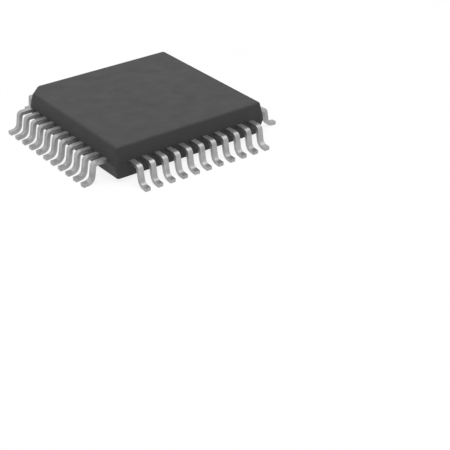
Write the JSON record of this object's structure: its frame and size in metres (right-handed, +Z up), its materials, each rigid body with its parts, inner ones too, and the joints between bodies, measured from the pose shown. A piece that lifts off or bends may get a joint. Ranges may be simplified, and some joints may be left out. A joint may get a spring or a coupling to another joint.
{
  "type": "quad flat pack chip",
  "caption": "Square moulded chip package with gull-wing leads on all four sides, a drafted body and a large chamfer at the pin 1 corner.",
  "frame": {"origin": "middle of the board plane that the feet stand on, under the centre of the body", "axes": "+Z up from the board; the pin 1 chamfer is at the -X +Y corner, and pins run counter-clockwise seen from above"},
  "size_m": [0.013, 0.013, 0.0021],
  "materials": {
    "mould_compound": "matte moulded epoxy",
    "lead_plating": "satin tin plate",
    "frame_copper": "plain copper alloy",
    "die_adhesive": "silver-filled epoxy",
    "silicon": "polished silicon",
    "bond_gold": "drawn gold wire"
  },
  "bodies": {
    "root": {"package_body": "mould_compound", "die_pad": "frame_copper", "die_attach": "die_adhesive", "silicon_die": "silicon", "bond_wires": "bond_gold", "lead_01": "lead_plating", "lead_02": "lead_plating", "lead_03": "lead_plating", "lead_04": "lead_plating", "lead_05": "lead_plating", "lead_06": "lead_plating", "lead_07": "lead_plating", "lead_08": "lead_plating", "lead_09": "lead_plating", "lead_10": "lead_plating", "lead_11": "lead_plating", "lead_12": "lead_plating", "lead_13": "lead_plating", "lead_14": "lead_plating", "lead_15": "lead_plating", "lead_16": "lead_plating", "lead_17": "lead_plating", "lead_18": "lead_plating", "lead_19": "lead_plating", "lead_20": "lead_plating", "lead_21": "lead_plating", "lead_22": "lead_plating", "lead_23": "lead_plating", "lead_24": "lead_plating", "lead_25": "lead_plating", "lead_26": "lead_plating", "lead_27": "lead_plating", "lead_28": "lead_plating", "lead_29": "lead_plating", "lead_30": "lead_plating", "lead_31": "lead_plating", "lead_32": "lead_plating", "lead_33": "lead_plating", "lead_34": "lead_plating", "lead_35": "lead_plating", "lead_36": "lead_plating", "lead_37": "lead_plating", "lead_38": "lead_plating", "lead_39": "lead_plating", "lead_40": "lead_plating", "lead_41": "lead_plating", "lead_42": "lead_plating", "lead_43": "lead_plating", "lead_44": "lead_plating"}
  },
  "joints": []
}
